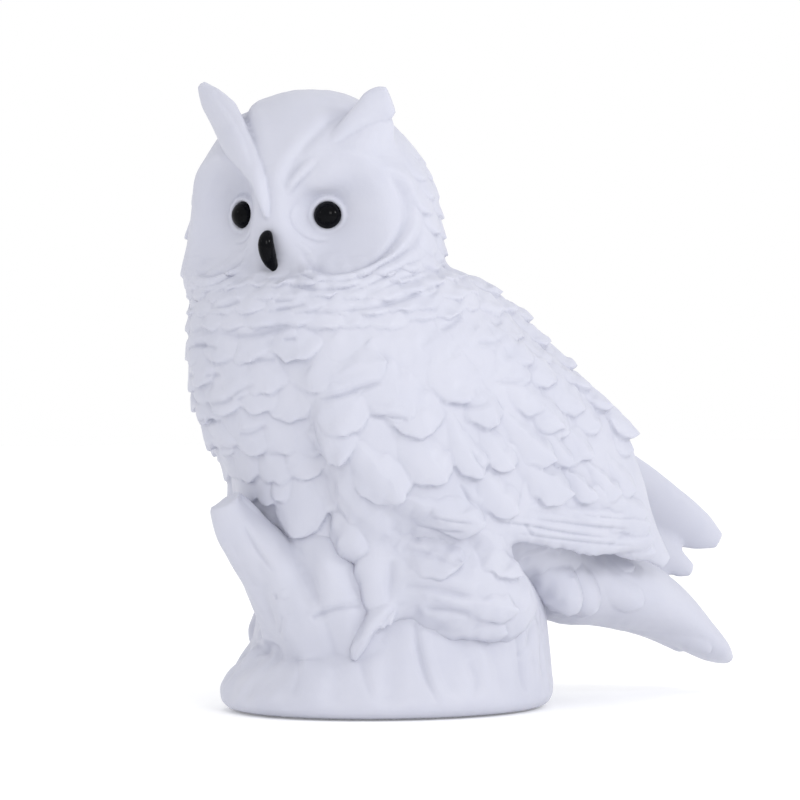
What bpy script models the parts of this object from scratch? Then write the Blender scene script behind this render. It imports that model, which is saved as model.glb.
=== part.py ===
"""An owl perched on a tree stump: a hollow moulded figurine, assembled from separate castings.

Units are metres and +Z is up. The owl's body faces -Y and its left side is +X. The origin is the centre
of the stump's underside, on the surface that the figurine stands on.
"""

import math

import bmesh
import bpy
from mathutils import Matrix, Vector

MM = 0.001

# Driving dimensions
WALL = 3.0 * MM
GAP = 0.3 * MM
SEGMENTS = 32
EYE_SIDES = 16

# The owl's head is turned towards its own left, about a vertical axis through the neck.
HEAD_TURN = math.radians(35)
HEAD_CENTRE = Vector((0, -30.6, 0)) * MM

# Round joints between the castings
NECK_RADIUS = 17.0 * MM
NECK_LEVEL = 148.0 * MM
NECK_DEPTH = 10.0 * MM
PERCH_CENTRE = Vector((0, 12, 0)) * MM
PERCH_RADIUS = 15.0 * MM
PERCH_TOP = 58.0 * MM
PEG_RADIUS = 3.0 * MM

# The stump's closing plate and the pad under it
PLATE_THICKNESS = 2.5 * MM
PLATE_LEDGE = 2.0 * MM
PAD_THICKNESS = 1.5 * MM
RIM_LIFT = 0.5 * MM
BASE_HALF_WIDTH = 51.5 * MM
BASE_HALF_DEPTH = 59.5 * MM
BASE_WALL = 8.0 * MM

# Eyes, and the dished faces around them, in the head's own frame
EYE_RADIUS = 4.8 * MM
EYE_PLACE = Vector((15.6, -19.8, 169.4)) * MM
EYE_SPLAY = math.radians(22)
EYE_STEM_RADIUS = 1.6 * MM
EYE_STEM_LENGTH = 10.0 * MM
DISC_PLACE = Vector((21.5, -36.0, 170.0)) * MM
DISC_HALF_AXES = Vector((17.5, 16.0, 18.5)) * MM
BRIDGE_PLACE = Vector((0.0, -44.0, 157.0)) * MM
BRIDGE_HALF_AXES = Vector((11.0, 11.5, 15.0)) * MM

# Level sections, in millimetres: height, front, back, half width
TORSO_SECTIONS = (
    (41, -24, 52, 26),
    (46, -36, 62, 33),
    (55, -46, 72, 40),
    (68, -53, 80, 46),
    (82, -58, 89, 49.5),
    (97, -67.5, 91, 51),
    (112, -72, 75, 50.5),
    (127, -73, 58, 48.5),
    (139, -72, 43, 47),
    (148, -64, 29, 43),
)
HEAD_SECTIONS = (
    (148.3, -39, 40, 44.6),
    (155, -38, 41, 45.5),
    (162, -36.5, 40.5, 45),
    (171, -34, 38.5, 44),
    (181, -33.5, 36, 42.5),
    (190, -31.5, 32.5, 38),
    (199, -27, 26.5, 31.5),
    (206, -21, 20, 23.5),
    (211, -14, 13, 15),
    (213.3, -7, 6.5, 7.5),
)
STUMP_SECTIONS = (
    (0.5, -55, 55, 47),
    (1.8, -58, 57.5, 50),
    (5, -59.5, 59, 51.5),
    (12, -56, 58, 50),
    (22, -49, 57, 48),
    (32, -45.5, 56, 46.5),
    (42, -44, 54, 44),
    (50, -41, 48, 38),
)

# Stations along a limb, in millimetres: centre x, y, z, half width, half thickness
WING_STATIONS = (
    (31, -52, 117, 8, 4),
    (38, -44, 116, 20, 6),
    (43.5, -28, 110, 30, 8),
    (46.5, -4, 101.5, 36, 8.5),
    (45, 24, 92.5, 34.5, 8.5),
    (39, 52, 83, 29, 8),
    (34.5, 66, 75.5, 26, 7.3),
    (31.5, 75, 69, 19.5, 6.5),
    (29.5, 82, 63, 13, 5.5),
    (27.5, 90, 56.5, 7, 3.8),
    (26, 98.5, 49.5, 3, 2),
)
RIGHT_WING_STATIONS = (
    (-30, -52, 117, 8, 4),
    (-37, -44, 116, 20, 6),
    (-43, -28, 111, 29, 8),
    (-46, -4, 103, 34, 8.5),
    (-44, 24, 94, 33.5, 8.5),
    (-38, 52, 85, 29, 8),
    (-29, 82, 79, 23, 7),
    (-17, 104.5, 72.5, 17, 6),
    (-8, 122.5, 64.5, 11, 5),
    (-3, 134, 58.5, 7, 3.5),
    (-1, 141, 55, 3, 2),
)
WING_LEAN = 0.1
# A second feathered tip, below the right wing's own
FLIGHT_STATIONS = (
    (-19, 94, 67, 8, 4),
    (-12.5, 104, 58, 8, 3.4),
    (-6.5, 115, 51.5, 7, 2.8),
    (-2.5, 126, 46, 5.5, 2.4),
    (-1, 130.5, 44, 3, 1.6),
)
TAIL_STATIONS = (
    (0, 54, 58, 17, 14),
    (0, 70, 45, 22, 17),
    (0, 86, 39, 21, 13.5),
    (0, 101, 34.5, 19, 11.5),
    (0, 115, 29, 17, 9.5),
    (0, 128, 22, 14, 7.5),
    (0, 138, 15.5, 9.5, 5),
    (0, 144, 11.5, 4, 2.2),
)
LEG_STATIONS = (
    (33, -16, 60, 8, 10),
    (37, -5, 52, 14, 16.5),
    (39.5, 6, 45, 16, 19),
    (40.5, 15, 39.5, 15.5, 16.5),
    (40.5, 23, 36.5, 12.5, 13.5),
    (39.5, 28.5, 34.5, 8, 9),
    (38.5, 31, 34, 3, 3.5),
)
BRANCH_STATIONS = (
    (7, -22, 14, 25, 20),
    (9.5, -38, 34, 21.5, 16),
    (9, -51, 52, 12.5, 10.5),
    (8.5, -61.5, 65, 8, 8),
    (8, -67.5, 73, 6, 5.5),
)
LEFT_TUFT_STATIONS = (
    (9, -28, 184, 3, 3),
    (15, -25.5, 188.5, 4, 3.5),
    (22, -21.2, 195, 5, 4),
    (28, -17.4, 201, 5.6, 4),
    (33, -15, 206, 5.4, 3.6),
    (36.5, -13.6, 209.5, 3.2, 2.2),
)
RIGHT_TUFT_STATIONS = (
    (-3, -32, 181, 3, 3.5),
    (-10, -29, 190, 5, 4.2),
    (-19, -23.3, 199.5, 6.2, 4.6),
    (-24.5, -19.7, 205.5, 5.6, 4.6),
    (-29.5, -17, 210, 4.4, 4),
    (-34.3, -15, 215, 1.8, 1.8),
)
BEAK_STATIONS = (
    (0.6, -33, 163.5, 1.2, 1.2),
    (0.6, -35.2, 162, 2.3, 2.3),
    (0.7, -36.3, 159.6, 2.7, 3),
    (0.8, -35.8, 156.8, 2.8, 3.2),
    (1.2, -34.3, 153.8, 2.2, 2.6),
    (1.7, -33, 150.6, 0.9, 1.1),
)
TOE_STATIONS = (
    (0, 1, 3, 3, 3),
    (0, -3, -1, 3.6, 3.5),
    (0, -7, -6, 3.8, 3.8),
    (0, -10, -10.5, 3.4, 3.3),
    (0, -12, -14.5, 2.8, 2.7),
    (0, -13.2, -18, 1.5, 1.5),
)
FOOT_PLACE = Vector((39.5, -21.5, 38.0)) * MM
INSTEP_LIFT = Vector((0, 0, 2.0)) * MM
INSTEP_HALF_AXES = Vector((9.0, 9.0, 7.5)) * MM
# Each toe's heading and its size beside the longest
TOES = ((math.radians(-15), 1.0), (math.radians(24), 0.7), (math.radians(58), 0.6))


# ---------------------------------------------------------------- building blocks


def clear_scene():
    for obj in list(bpy.data.objects):
        bpy.data.objects.remove(obj)


def material(name, colour, roughness):
    made = bpy.data.materials.new(name)
    made.use_nodes = True
    shader = made.node_tree.nodes["Principled BSDF"]
    shader.inputs["Base Color"].default_value = (*colour, 1.0)
    shader.inputs["Roughness"].default_value = roughness
    shader.inputs["Metallic"].default_value = 0.0
    return made


def object_from(name, bm):
    bmesh.ops.recalc_face_normals(bm, faces=bm.faces)
    mesh = bpy.data.meshes.new(name)
    bm.to_mesh(mesh)
    bm.free()
    obj = bpy.data.objects.new(name, mesh)
    bpy.context.scene.collection.objects.link(obj)
    return obj


def loft(name, rings):
    """A closed skin over rings of equal point count, with a flat cap at each end."""
    bm = bmesh.new()
    rows = [[bm.verts.new(point) for point in ring] for ring in rings]
    count = len(rows[0])
    for lower, upper in zip(rows, rows[1:]):
        for i in range(count):
            j = (i + 1) % count
            bm.faces.new((lower[i], lower[j], upper[j], upper[i]))
    bm.faces.new(rows[0])
    bm.faces.new(rows[-1])
    return object_from(name, bm)


def curve_point(a, b, c, d, t):
    """A point between b and c on the Catmull-Rom curve through four numbers."""
    return 0.5 * (2 * b + (c - a) * t + (2 * a - 5 * b + 4 * c - d) * t**2 + (3 * b - a - 3 * c + d) * t**3)


def smooth_rows(keys, per_span):
    """Rows of numbers along a smooth curve through the key rows."""
    rows = []
    last = len(keys) - 1
    for k in range(last):
        around = [keys[min(max(i, 0), last)] for i in range(k - 1, k + 3)]
        for step in range(per_span):
            rows.append(tuple(curve_point(*column, step / per_span) for column in zip(*around)))
    rows.append(tuple(keys[-1]))
    return rows


def level_loft(name, sections, grow=0.0, per_span=2, segments=SEGMENTS):
    """A skin over level ovals given as height, front, back and half width in millimetres."""
    rings = []
    for height, front, back, half in smooth_rows(sections, per_span):
        middle = (front + back) / 2 * MM
        reach = (back - front) / 2 * MM + grow
        side = half * MM + grow
        turns = [2 * math.pi * i / segments for i in range(segments)]
        rings.append([Vector((side * math.sin(a), middle + reach * math.cos(a), height * MM)) for a in turns])
    rings[0] = [point - Vector((0, 0, grow)) for point in rings[0]]
    rings[-1] = [point + Vector((0, 0, grow)) for point in rings[-1]]
    return loft(name, rings)


def limb_loft(name, stations, across, grow=0.0, per_span=2, segments=16):
    """A skin over ovals set square to a curved path. across points along each oval's half width."""
    rows = smooth_rows(stations, per_span)
    centres = [Vector(row[:3]) * MM for row in rows]
    rings = []
    for i, row in enumerate(rows):
        along = (centres[min(i + 1, len(rows) - 1)] - centres[max(i - 1, 0)]).normalized()
        wide = (across - along * across.dot(along)).normalized() * (row[3] * MM + grow)
        thick = along.cross(wide).normalized() * (row[4] * MM + grow)
        turns = [2 * math.pi * k / segments for k in range(segments)]
        rings.append([centres[i] + wide * math.cos(a) + thick * math.sin(a) for a in turns])
    return loft(name, rings)


def cylinder(name, radius, start, end, segments=24):
    """A closed rod between two points."""
    turn = (end - start).to_track_quat("Z", "Y").to_matrix()
    turns = [2 * math.pi * k / segments for k in range(segments)]
    circle = [turn @ Vector((radius * math.cos(a), radius * math.sin(a), 0)) for a in turns]
    return loft(name, [[start + point for point in circle], [end + point for point in circle]])


def oval_plate(name, half_width, half_depth, bottom, top):
    turns = [2 * math.pi * i / SEGMENTS for i in range(SEGMENTS)]
    rings = [
        [Vector((half_width * math.sin(a), half_depth * math.cos(a), level)) for a in turns]
        for level in (bottom, top)
    ]
    return loft(name, rings)


def ellipsoid(name, centre, half_axes, sides=20):
    bm = bmesh.new()
    bmesh.ops.create_uvsphere(bm, u_segments=sides, v_segments=sides // 2 + 1, radius=1.0)
    place = Matrix.Translation(centre) @ Matrix.Diagonal((*half_axes, 1.0))
    bmesh.ops.transform(bm, matrix=place, verts=bm.verts)
    return object_from(name, bm)


def combine(obj, other, operation):
    """Applies one Boolean of other to obj, and removes other."""
    modifier = obj.modifiers.new(operation, "BOOLEAN")
    modifier.operation = operation
    modifier.object = other
    modifier.solver = "EXACT"
    graph = bpy.context.evaluated_depsgraph_get()
    result = bpy.data.meshes.new_from_object(obj.evaluated_get(graph), depsgraph=graph)
    obj.modifiers.clear()
    obj.data = result
    bpy.data.objects.remove(other)


def cut(obj, *cutters):
    for cutter in cutters:
        combine(obj, cutter, "DIFFERENCE")


def join(obj, *others):
    for other in others:
        combine(obj, other, "UNION")


def tidy(obj):
    """Merges points that the cuts left on top of each other, and drops faces with no area."""
    bm = bmesh.new()
    bm.from_mesh(obj.data)
    bmesh.ops.remove_doubles(bm, verts=bm.verts, dist=0.02 * MM)
    bmesh.ops.dissolve_degenerate(bm, edges=bm.edges, dist=0.01 * MM)
    bm.to_mesh(obj.data)
    bm.free()


def finish(obj, name, look):
    """Names the piece, rounds its shading and gives it its material."""
    tidy(obj)
    obj.name = name
    obj.data.name = name
    obj.data.materials.clear()
    obj.data.materials.append(look)
    obj.data.shade_smooth()
    obj.data.set_sharp_from_angle(angle=math.radians(35))


def turn_with_head(obj):
    """Carries a shape from the head's own frame, which faces -Y about the origin, to its place on the owl."""
    obj.data.transform(Matrix.Translation(HEAD_CENTRE) @ Matrix.Rotation(HEAD_TURN, 4, "Z"))
    return obj


def other_side(stations):
    return tuple((-row[0], *row[1:]) for row in stations)


# ---------------------------------------------------------------- forms that neighbours are cut to


def torso(grow=0.0):
    return level_loft("torso", TORSO_SECTIONS, grow)


def stump_form(grow=0.0):
    return level_loft("stump_form", STUMP_SECTIONS, grow)


def branch(grow=0.0):
    return limb_loft("branch", BRANCH_STATIONS, Vector((1, 0, 0)), grow)


def wing_form(side, grow=0.0):
    """One folded wing: its width leans in over the back."""
    stations = WING_STATIONS if side > 0 else RIGHT_WING_STATIONS
    across = Vector((-side * WING_LEAN, 0, 1)).normalized()
    return limb_loft("wing_form", stations, across, grow, segments=20)


def flight_form(grow=0.0):
    return limb_loft("flight_form", FLIGHT_STATIONS, Vector((0, 0.4, 1)).normalized(), grow, segments=14)


def leg_form(side, grow=0.0):
    stations = LEG_STATIONS if side > 0 else other_side(LEG_STATIONS)
    return limb_loft("leg_form", stations, Vector((1, 0, 0)), grow, segments=18)


def tail_form(grow=0.0):
    return limb_loft("tail_form", TAIL_STATIONS, Vector((1, 0, 0)), grow, segments=20)


def face_dish(side, grow=0.0):
    centre = Vector((side * DISC_PLACE.x, DISC_PLACE.y, DISC_PLACE.z))
    half_axes = DISC_HALF_AXES + Vector((grow, grow, grow))
    return turn_with_head(ellipsoid("face_dish", centre, half_axes))


def bridge_dish(grow=0.0):
    """The hollow across the middle of the face, where the beak sits."""
    half_axes = BRIDGE_HALF_AXES + Vector((grow, grow, grow))
    return turn_with_head(ellipsoid("bridge_dish", BRIDGE_PLACE, half_axes))


def tuft(side):
    stations = LEFT_TUFT_STATIONS if side > 0 else RIGHT_TUFT_STATIONS
    across = Vector((1, 0.6, -0.75)) if side > 0 else Vector((1, -0.35, 0.75))
    return turn_with_head(limb_loft("tuft", stations, across.normalized(), segments=12))


def eye_axis(side):
    """The direction in which an eye looks, in the head's own frame."""
    return Vector((side * math.sin(EYE_SPLAY), -math.cos(EYE_SPLAY), 0))


def eye_place(side):
    return Vector((side * EYE_PLACE.x, EYE_PLACE.y, EYE_PLACE.z))


def eye_ball(side, grow=0.0):
    radius = EYE_RADIUS + grow
    return turn_with_head(ellipsoid("eye_ball", eye_place(side), (radius, radius, radius), EYE_SIDES))


def eye_stem(side, grow=0.0):
    start = eye_place(side)
    end = start - eye_axis(side) * (EYE_STEM_LENGTH + grow)
    return turn_with_head(cylinder("eye_stem", EYE_STEM_RADIUS + grow, start, end, 12))


def peg(start, end, grow=0.0, radius=PEG_RADIUS):
    return cylinder("peg", radius + grow, Vector(start) * MM, Vector(end) * MM, 16)


def wing_pegs(side, grow=0.0):
    return (
        peg((side * 52, -12, 105), (side * 38, -12, 105), grow),
        peg((side * 51.5, 26, 92), (side * 38, 26, 92), grow),
    )


def leg_peg(side, grow=0.0):
    return peg((side * 47, 10, 54), (side * 31, 10, 57), grow)


def tail_peg(grow=0.0):
    return peg((0, 86, 44), (0, 66, 60), grow)


def beak_peg(grow=0.0):
    return turn_with_head(peg((0.7, -36, 159.5), (0.7, -27, 159.5), grow, 1.5 * MM))


# ---------------------------------------------------------------- the castings


def make_body(look):
    """The hollow torso, open at the neck and over the perch."""
    body = torso()
    cut(body, level_loft("hollow", TORSO_SECTIONS, -WALL, per_span=1, segments=20))
    neck_low = HEAD_CENTRE + Vector((0, 0, NECK_LEVEL - 3 * NECK_DEPTH))
    neck_high = HEAD_CENTRE + Vector((0, 0, NECK_LEVEL + NECK_DEPTH))
    perch_low = PERCH_CENTRE + Vector((0, 0, PERCH_TOP / 2))
    perch_high = PERCH_CENTRE + Vector((0, 0, PERCH_TOP + GAP))
    cut(body, cylinder("neck_hole", NECK_RADIUS + GAP, neck_low, neck_high))
    cut(body, cylinder("perch_hole", PERCH_RADIUS + GAP, perch_low, perch_high))
    for side in (1, -1):
        cut(body, *wing_pegs(side, GAP), leg_peg(side, GAP))
    cut(body, tail_peg(GAP))
    finish(body, "body_shell", look)


def make_head(look):
    """The hollow head, with dished faces, ear tufts and a neck spigot."""
    head = turn_with_head(level_loft("head", HEAD_SECTIONS))
    cut(head, face_dish(1), face_dish(-1), bridge_dish())
    join(head, tuft(1), tuft(-1))
    hollow = turn_with_head(level_loft("hollow", HEAD_SECTIONS[:-1], -WALL, per_span=1, segments=20))
    cut(hollow, face_dish(1, WALL), face_dish(-1, WALL), bridge_dish(WALL))
    cut(head, hollow)
    spigot_low = HEAD_CENTRE + Vector((0, 0, NECK_LEVEL - NECK_DEPTH))
    spigot_high = HEAD_CENTRE + Vector((0, 0, NECK_LEVEL + WALL))
    below = HEAD_CENTRE + Vector((0, 0, NECK_LEVEL - 2 * NECK_DEPTH))
    above = HEAD_CENTRE + Vector((0, 0, NECK_LEVEL + 2 * WALL))
    join(head, cylinder("spigot", NECK_RADIUS, spigot_low, spigot_high))
    cut(head, cylinder("bore", NECK_RADIUS - WALL, below, above))
    for side in (1, -1):
        cut(head, eye_ball(side, GAP), eye_stem(side, GAP))
    cut(head, beak_peg(GAP))
    finish(head, "head_shell", look)


def make_wing(side, look):
    wing = wing_form(side)
    if side < 0:
        join(wing, flight_form())
    cut(wing, torso(GAP))
    join(wing, *wing_pegs(side))
    finish(wing, "left_wing" if side > 0 else "right_wing", look)


def make_tail(look):
    tail = tail_form()
    cut(tail, torso(GAP), wing_form(1, GAP), wing_form(-1, GAP), flight_form(GAP), stump_form(GAP))
    join(tail, tail_peg())
    finish(tail, "tail", look)


def make_leg(side, look):
    """One feathered thigh, seated against the torso and over the stump's shoulder."""
    leg = leg_form(side)
    cut(leg, torso(GAP), wing_form(side, GAP), stump_form(GAP))
    join(leg, leg_peg(side))
    finish(leg, "left_leg" if side > 0 else "right_leg", look)


def make_foot(side, look):
    """Three toes that curl over the front shoulder of the stump."""
    place = Vector((side * FOOT_PLACE.x, FOOT_PLACE.y, FOOT_PLACE.z))
    foot = ellipsoid("foot", place + INSTEP_LIFT, INSTEP_HALF_AXES, 16)
    for heading, size in TOES:
        toe = limb_loft("toe", TOE_STATIONS, Vector((1, 0, 0)), segments=10)
        turn = Matrix.Rotation(side * heading, 4, "Z") @ Matrix.Scale(size, 4)
        toe.data.transform(Matrix.Translation(place) @ turn)
        join(foot, toe)
    cut(foot, torso(GAP), leg_form(side, GAP), stump_form(GAP))
    finish(foot, "left_foot" if side > 0 else "right_foot", look)


def make_eye(side, look):
    eye = eye_ball(side)
    join(eye, eye_stem(side))
    finish(eye, "left_eye" if side > 0 else "right_eye", look)


def make_beak(look):
    beak = turn_with_head(limb_loft("beak", BEAK_STATIONS, Vector((1, 0, 0)), segments=14))
    face = turn_with_head(level_loft("face", HEAD_SECTIONS, GAP))
    cut(face, bridge_dish(-GAP))
    cut(beak, face)
    join(beak, beak_peg())
    finish(beak, "beak", look)


def make_stump(look):
    """The hollow stump with its broken branch and the perch boss that rises into the body."""
    stump = stump_form()
    join(stump, branch())
    cut(stump, torso(GAP))
    low = Vector((0, 0, 20 * MM))
    join(stump, cylinder("perch", PERCH_RADIUS, PERCH_CENTRE + low, PERCH_CENTRE + Vector((0, 0, PERCH_TOP))))
    core_keys = [(h, f + 6, b - 4, w - 4) for h, f, b, w in STUMP_SECTIONS[2:6]] + [(37.5, -36, 46, 36)]
    cut(stump, level_loft("core", core_keys, per_span=1, segments=20))
    bore_top = Vector((0, 0, PERCH_TOP - WALL))
    cut(stump, cylinder("bore", PERCH_RADIUS - WALL, PERCH_CENTRE + low, PERCH_CENTRE + bore_top))
    mouth = (BASE_HALF_WIDTH - BASE_WALL, BASE_HALF_DEPTH - BASE_WALL)
    cut(stump, oval_plate("mouth", *mouth, -1 * MM, 8 * MM))
    recess = (mouth[0] + PLATE_LEDGE, mouth[1] + PLATE_LEDGE)
    cut(stump, oval_plate("recess", *recess, -1 * MM, PAD_THICKNESS + PLATE_THICKNESS + GAP))
    finish(stump, "stump", look)


def make_closure(plate_look, pad_look):
    """A plate set into the stump's underside, and the pad that the figurine stands on."""
    half_width = BASE_HALF_WIDTH - BASE_WALL + PLATE_LEDGE - GAP
    half_depth = BASE_HALF_DEPTH - BASE_WALL + PLATE_LEDGE - GAP
    top = PAD_THICKNESS + PLATE_THICKNESS
    plate = oval_plate("plate", half_width, half_depth, PAD_THICKNESS, top)
    finish(plate, "base_plate", plate_look)
    pad = oval_plate("pad", half_width - 1 * MM, half_depth - 1 * MM, 0, PAD_THICKNESS - 0.1 * MM)
    finish(pad, "base_pad", pad_look)


def main():
    clear_scene()
    white = material("matte_white", (0.86, 0.87, 0.91), 0.55)
    black = material("gloss_black", (0.01, 0.01, 0.011), 0.12)
    card = material("grey_plate", (0.55, 0.56, 0.58), 0.7)
    felt = material("white_felt", (0.78, 0.79, 0.81), 0.95)
    make_body(white)
    make_head(white)
    make_tail(white)
    make_stump(white)
    for side in (1, -1):
        make_wing(side, white)
        make_leg(side, white)
        make_foot(side, white)
        make_eye(side, black)
    make_beak(black)
    make_closure(card, felt)


main()
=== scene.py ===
"""Looks of the owl figurine: sculpted feathers, bark and face, in matte white with glossy eyes and beak.

Lengths are in millimetres while a form is being sculpted, and become metres when it is made an object.
The owl's body faces -Y, its left is +X and +Z is up. The head has its own frame, in which it faces -Y.
"""

import math

import bpy
import numpy as np
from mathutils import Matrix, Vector
from mathutils.bvhtree import BVHTree


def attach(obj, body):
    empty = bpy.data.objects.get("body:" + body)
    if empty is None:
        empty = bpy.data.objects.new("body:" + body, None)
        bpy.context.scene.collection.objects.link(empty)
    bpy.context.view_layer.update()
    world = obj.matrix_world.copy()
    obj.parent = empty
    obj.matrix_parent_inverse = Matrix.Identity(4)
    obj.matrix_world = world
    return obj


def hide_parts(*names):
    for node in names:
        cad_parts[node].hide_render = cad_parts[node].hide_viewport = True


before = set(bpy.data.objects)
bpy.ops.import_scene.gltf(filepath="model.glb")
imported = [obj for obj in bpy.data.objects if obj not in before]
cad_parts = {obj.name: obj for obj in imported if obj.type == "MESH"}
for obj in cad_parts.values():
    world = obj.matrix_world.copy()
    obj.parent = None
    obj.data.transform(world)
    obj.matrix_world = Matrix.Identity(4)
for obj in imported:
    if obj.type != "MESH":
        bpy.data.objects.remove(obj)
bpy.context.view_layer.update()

MM = 0.001
UP = np.array((0.0, 0.0, 1.0))
SIDEWAYS = np.array((1.0, 0.0, 0.0))

# Voxel sizes: of the bird, of the stump, and of the plain hull that the feathers are laid on
BIRD_VOXEL = 0.55
STUMP_VOXEL = 0.75
HULL_VOXEL = 1.6

# The head's turn towards the owl's left, and the axis that it turns about
HEAD_TURN = math.radians(35)
HEAD_CENTRE = np.array((0.0, -30.6, 0.0))

# Level sections: height, front, back, half width
TORSO_SECTIONS = (
    (41, -24, 52, 26),
    (46, -36, 62, 33),
    (55, -46, 72, 40),
    (68, -53, 80, 46),
    (82, -58, 89, 49.5),
    (97, -67.5, 91, 51),
    (112, -72, 75, 50.5),
    (127, -73, 58, 48.5),
    (139, -72, 43, 47),
    (146, -65, 32, 44),
    (152, -56, 19, 37),
)
HEAD_SECTIONS = (
    (140, -36, 36, 40),
    (147, -39, 40, 44.5),
    (155, -38, 41, 45.5),
    (162, -36.5, 40.5, 45),
    (171, -34, 38.5, 44),
    (181, -33.5, 36, 42.5),
    (190, -31.5, 32.5, 38),
    (199, -27, 26.5, 31.5),
    (206, -21, 20, 23.5),
    (211, -14, 13, 15),
    (213.3, -7, 6.5, 7.5),
)
STUMP_SECTIONS = (
    (0.6, -55, 55, 47),
    (1.8, -58, 57.5, 50),
    (5, -59.5, 59, 51.5),
    (12, -56, 58, 50),
    (22, -49, 57, 48),
    (32, -45.5, 56, 46.5),
    (42, -44, 54, 44),
    (50, -41, 48, 38),
)

# Stations along a limb: centre x, y, z, half width, half thickness
WING_STATIONS = (
    (31, -52, 117, 8, 4),
    (38, -44, 116, 20, 6),
    (43.5, -28, 110, 30, 8),
    (46.5, -4, 101.5, 36, 8.5),
    (45, 24, 92.5, 34.5, 8.5),
    (39, 52, 83, 29, 8),
    (34.5, 66, 75.5, 26, 7.3),
    (31.5, 75, 69, 19.5, 6.5),
    (29.5, 82, 63, 13, 5.5),
    (27.5, 90, 56.5, 7, 3.8),
    (26, 98.5, 49.5, 3, 2),
)
RIGHT_WING_STATIONS = (
    (-30, -52, 117, 8, 4),
    (-37, -44, 116, 20, 6),
    (-43, -28, 111, 29, 8),
    (-46, -4, 103, 34, 8.5),
    (-44, 24, 94, 33.5, 8.5),
    (-38, 52, 85, 29, 8),
    (-29, 82, 79, 23, 7),
    (-17, 104.5, 72.5, 17, 6),
    (-8, 122.5, 64.5, 11, 5),
    (-3, 134, 58.5, 7, 3.5),
    (-1, 141, 55, 3, 2),
)
# How far the wings' upper edges lean in, as a slope
WING_LEAN = 0.1
# From this station to its tip, a wing keeps a crisp outline
CRISP_WING_START = 4
# Rounded lobes of down, under the tail's root and at the side of the belly
DOWN_LOBES = (
    (
        (14, 46, 58, 7, 8),
        (17, 56, 49, 8.5, 9),
        (18, 64, 41, 8.5, 8.5),
        (18, 69.5, 35.5, 6.5, 6.5),
        (18, 72, 31.5, 3, 3),
    ),
    (
        (22, 40, 56, 7, 8),
        (24, 50, 46, 8, 8),
        (25, 55, 40, 7.5, 7.5),
        (25, 58.5, 35.5, 5.5, 5.5),
        (25, 60, 32, 2.5, 2.5),
    ),
    (
        (28, -28, 84, 6, 6),
        (30.5, -30.5, 72, 8, 7.5),
        (31.2, -31.2, 63, 8.4, 7.6),
        (31.2, -31, 56.5, 7, 6.4),
        (31.2, -30.6, 53, 3, 3),
    ),
)
# The right wing's second tip, under its first
FLIGHT_STATIONS = (
    (-19, 94, 67, 8, 4),
    (-12.5, 104, 58, 8, 3.4),
    (-6.5, 115, 51.5, 7, 2.8),
    (-2.5, 126, 46, 5.5, 2.4),
    (-1, 130.5, 44, 3, 1.6),
)
TAIL_STATIONS = (
    (0, 54, 58, 17, 14),
    (0, 70, 45, 22, 17),
    (0, 86, 41, 21.5, 15.5),
    (0, 101, 36.5, 19.5, 13.5),
    (0, 115, 30, 17, 10.5),
    (0, 128, 21.5, 13.5, 7.2),
    (0, 138, 15, 9.5, 4.8),
    (0, 144, 11.5, 4, 2.2),
)
LEG_STATIONS = (
    (34, -16.5, 57, 8, 11),
    (37.5, -7, 49, 13.5, 18),
    (39.5, 5, 44, 16, 19.5),
    (40.5, 15, 39.5, 15.5, 16.5),
    (40.5, 23, 36.5, 12.5, 13.5),
    (39.5, 28.5, 34.5, 8, 9),
    (38.5, 31, 34, 3, 3.5),
)
# Fullness of the flank, and of the groin above the thigh
FLANK_STATIONS = (
    (36, -30, 104, 6, 8),
    (37, -32, 92, 10, 12),
    (36.5, -28, 78, 11, 13),
    (34, -22, 66, 10, 12),
    (32, -18, 58, 7, 8),
)
GROIN_STATIONS = (
    (38, -24, 82, 8, 9),
    (41.5, -12, 75, 11.5, 11),
    (43.5, 2, 68, 12, 10.5),
    (43.5, 14, 62, 10, 8.5),
    (42, 20, 58, 5, 5),
)
# Down between the wing's lower edge and the root of the tail
VENT_STATIONS = (
    (26, 14, 64, 8, 8),
    (26, 28, 60, 11, 11),
    (24, 42, 56, 11.5, 11),
    (20, 55, 52, 10, 9),
    (16, 66, 48, 6, 6),
)
SHIN_STATIONS = (
    (31, -21, 68, 7, 8),
    (33, -23.5, 58, 7, 8.5),
    (34.5, -24.5, 48, 7, 8.5),
    (36.5, -24, 41, 6, 7.5),
    (38, -22.5, 36, 5.5, 6.5),
    (39, -22, 32, 3, 3.5),
)
BODY_SWELLINGS = (FLANK_STATIONS, GROIN_STATIONS, VENT_STATIONS)
BRANCH_STATIONS = (
    (7, -22, 14, 25, 20),
    (9.5, -38, 34, 21.5, 16),
    (9, -51, 52, 12.5, 10.5),
    (8.5, -61.5, 65, 8, 8),
    (8, -67.5, 73, 6, 5.5),
)
# A toe, about the place where it leaves the leg
TOE_STATIONS = (
    (-2, 0, 1, 2.5, 2.5),
    (0, -3, -1, 4.6, 3.4),
    (0, -7, -6, 5.4, 3.2),
    (0, -10, -10.5, 4.6, 2.7),
    (0, -12, -14.5, 3.0, 2.1),
    (0, -13.2, -18, 1, 1),
)
# The stump's shoulder, beside the branch
SHOULDER_STATIONS = (
    (20, -20, 18, 20, 17),
    (20, -29, 36, 18, 15.5),
    (19, -35, 48, 14.5, 12),
    (17.5, -39, 58, 10, 9),
    (16, -42, 65, 5, 5),
)
FOOT_PLACE = np.array((39.5, -21.5, 38.0))
# The toes of a foot: turn outwards in degrees, and size
TOES = ((-15, 1.0), (26, 0.42), (52, 0.36))

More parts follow.
